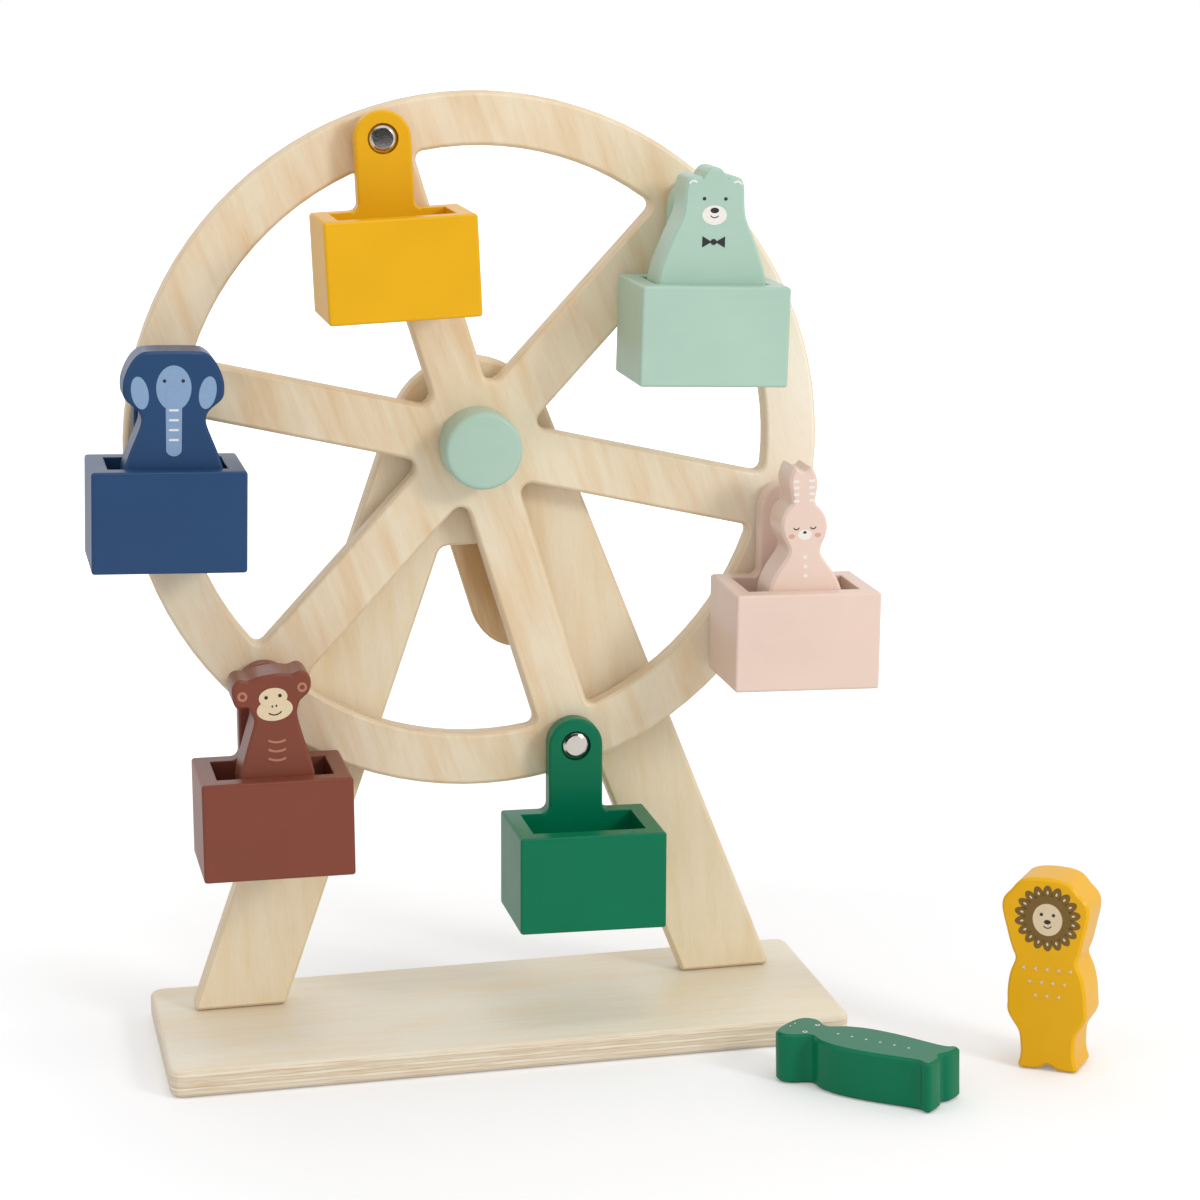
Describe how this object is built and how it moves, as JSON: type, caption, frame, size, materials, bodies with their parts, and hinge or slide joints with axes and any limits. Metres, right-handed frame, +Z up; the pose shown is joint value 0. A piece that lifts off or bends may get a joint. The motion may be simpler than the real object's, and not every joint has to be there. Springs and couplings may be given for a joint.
{
  "type": "toy ferris wheel",
  "caption": "Wooden toy ferris wheel on an A-shaped stand, hand-cranked, with hanging painted buckets that carry small wooden animal figures.",
  "frame": {"origin": "centre of the base board's underside, on the surface that the toy stands on", "axes": "+Z up; +X to the right along the base's length; -Y is the front, where the buckets hang; the wheel turns about Y"},
  "size_m": [0.4239, 0.2391, 0.4232],
  "materials": {
    "ply": "clear-lacquered birch plywood, satin",
    "yellow": "mustard yellow lacquer on solid wood, satin",
    "mint": "pale mint lacquer on solid wood, satin",
    "pink": "pale blush pink lacquer on solid wood, satin",
    "green": "deep green lacquer on solid wood, satin",
    "brown": "red-brown lacquer on solid wood, satin",
    "blue": "slate blue lacquer on solid wood, satin",
    "steel": "nickel-plated steel, polished",
    "nylon": "natural nylon, matt"
  },
  "bodies": {
    "frame": {"base_board": "ply", "stand_frame": "ply", "stand_screw_1": "steel", "stand_screw_2": "steel", "stand_screw_3": "steel", "stand_screw_4": "steel"},
    "wheel": {"wheel_disc": "ply", "axle": "ply", "wheel_spacer": "nylon", "crank_spacer": "nylon", "hub_cap": "mint", "crank_arm": "ply", "crank_grip": "mint", "washer_yellow": "nylon", "washer_mint": "nylon", "washer_pink": "nylon", "washer_green": "nylon", "washer_brown": "nylon", "washer_blue": "nylon", "bolt_yellow": "steel", "nut_yellow": "steel", "bolt_mint": "steel", "nut_mint": "steel", "bolt_pink": "steel", "nut_pink": "steel", "bolt_green": "steel", "nut_green": "steel", "bolt_brown": "steel", "nut_brown": "steel", "bolt_blue": "steel", "nut_blue": "steel"},
    "bucket_yellow": {"hanger_yellow": "yellow", "box_yellow": "yellow"},
    "bucket_mint": {"hanger_mint": "mint", "box_mint": "mint"},
    "bucket_pink": {"hanger_pink": "pink", "box_pink": "pink"},
    "bucket_green": {"hanger_green": "green", "box_green": "green"},
    "bucket_brown": {"hanger_brown": "brown", "box_brown": "brown"},
    "bucket_blue": {"hanger_blue": "blue", "box_blue": "blue"},
    "figure_elephant": {"figure_elephant": "blue"},
    "figure_bear": {"figure_bear": "mint"},
    "figure_rabbit": {"figure_rabbit": "pink"},
    "figure_monkey": {"figure_monkey": "brown"},
    "figure_lion": {"figure_lion": "yellow"},
    "figure_crocodile": {"figure_crocodile": "green"}
  },
  "joints": [
    {"name": "wheel_spin", "type": "hinge", "parent": "frame", "child": "wheel", "pos_m": [0, 0.0256, 0.2682], "axis": [0, 1, 0], "continuous": true},
    {"name": "bucket_yellow_level", "type": "hinge", "parent": "wheel", "child": "bucket_yellow", "pos_m": [-0.03913, 0, 0.40501], "axis": [0, 1, 0], "continuous": true},
    {"name": "bucket_mint_level", "type": "hinge", "parent": "wheel", "child": "bucket_mint", "pos_m": [0.09892, 0, 0.37049], "axis": [0, 1, 0], "continuous": true},
    {"name": "bucket_pink_level", "type": "hinge", "parent": "wheel", "child": "bucket_pink", "pos_m": [0.13805, 0, 0.23368], "axis": [0, 1, 0], "continuous": true},
    {"name": "bucket_green_level", "type": "hinge", "parent": "wheel", "child": "bucket_green", "pos_m": [0.03913, 0, 0.13139], "axis": [0, 1, 0], "continuous": true},
    {"name": "bucket_brown_level", "type": "hinge", "parent": "wheel", "child": "bucket_brown", "pos_m": [-0.09892, 0, 0.16591], "axis": [0, 1, 0], "continuous": true},
    {"name": "bucket_blue_level", "type": "hinge", "parent": "wheel", "child": "bucket_blue", "pos_m": [-0.13805, 0, 0.30272], "axis": [0, 1, 0], "continuous": true},
    {"name": "elephant_lift", "type": "slide", "parent": "bucket_blue", "child": "figure_elephant", "axis": [0.0436, 0, 0.999], "range_m": [0, 0.04]},
    {"name": "bear_lift", "type": "slide", "parent": "bucket_mint", "child": "figure_bear", "axis": [0.0523, 0, 0.9986], "range_m": [0, 0.04]},
    {"name": "rabbit_lift", "type": "slide", "parent": "bucket_pink", "child": "figure_rabbit", "axis": [0.0366, 0, 0.9993], "range_m": [0, 0.04]},
    {"name": "monkey_lift", "type": "slide", "parent": "bucket_brown", "child": "figure_monkey", "axis": [0.0122, 0, 0.9999], "range_m": [0, 0.04]},
    {"name": "lion_lift", "type": "slide", "parent": "frame", "child": "figure_lion", "axis": [0, 0, 1], "range_m": [0, 0.04]},
    {"name": "crocodile_lift", "type": "slide", "parent": "frame", "child": "figure_crocodile", "axis": [0, 0, 1], "range_m": [0, 0.04]}
  ],
  "couplings": [
    {"joint": "bucket_yellow_level", "follows": "wheel_spin", "ratio": -1},
    {"joint": "bucket_mint_level", "follows": "wheel_spin", "ratio": -1},
    {"joint": "bucket_pink_level", "follows": "wheel_spin", "ratio": -1},
    {"joint": "bucket_green_level", "follows": "wheel_spin", "ratio": -1},
    {"joint": "bucket_brown_level", "follows": "wheel_spin", "ratio": -1},
    {"joint": "bucket_blue_level", "follows": "wheel_spin", "ratio": -1}
  ]
}
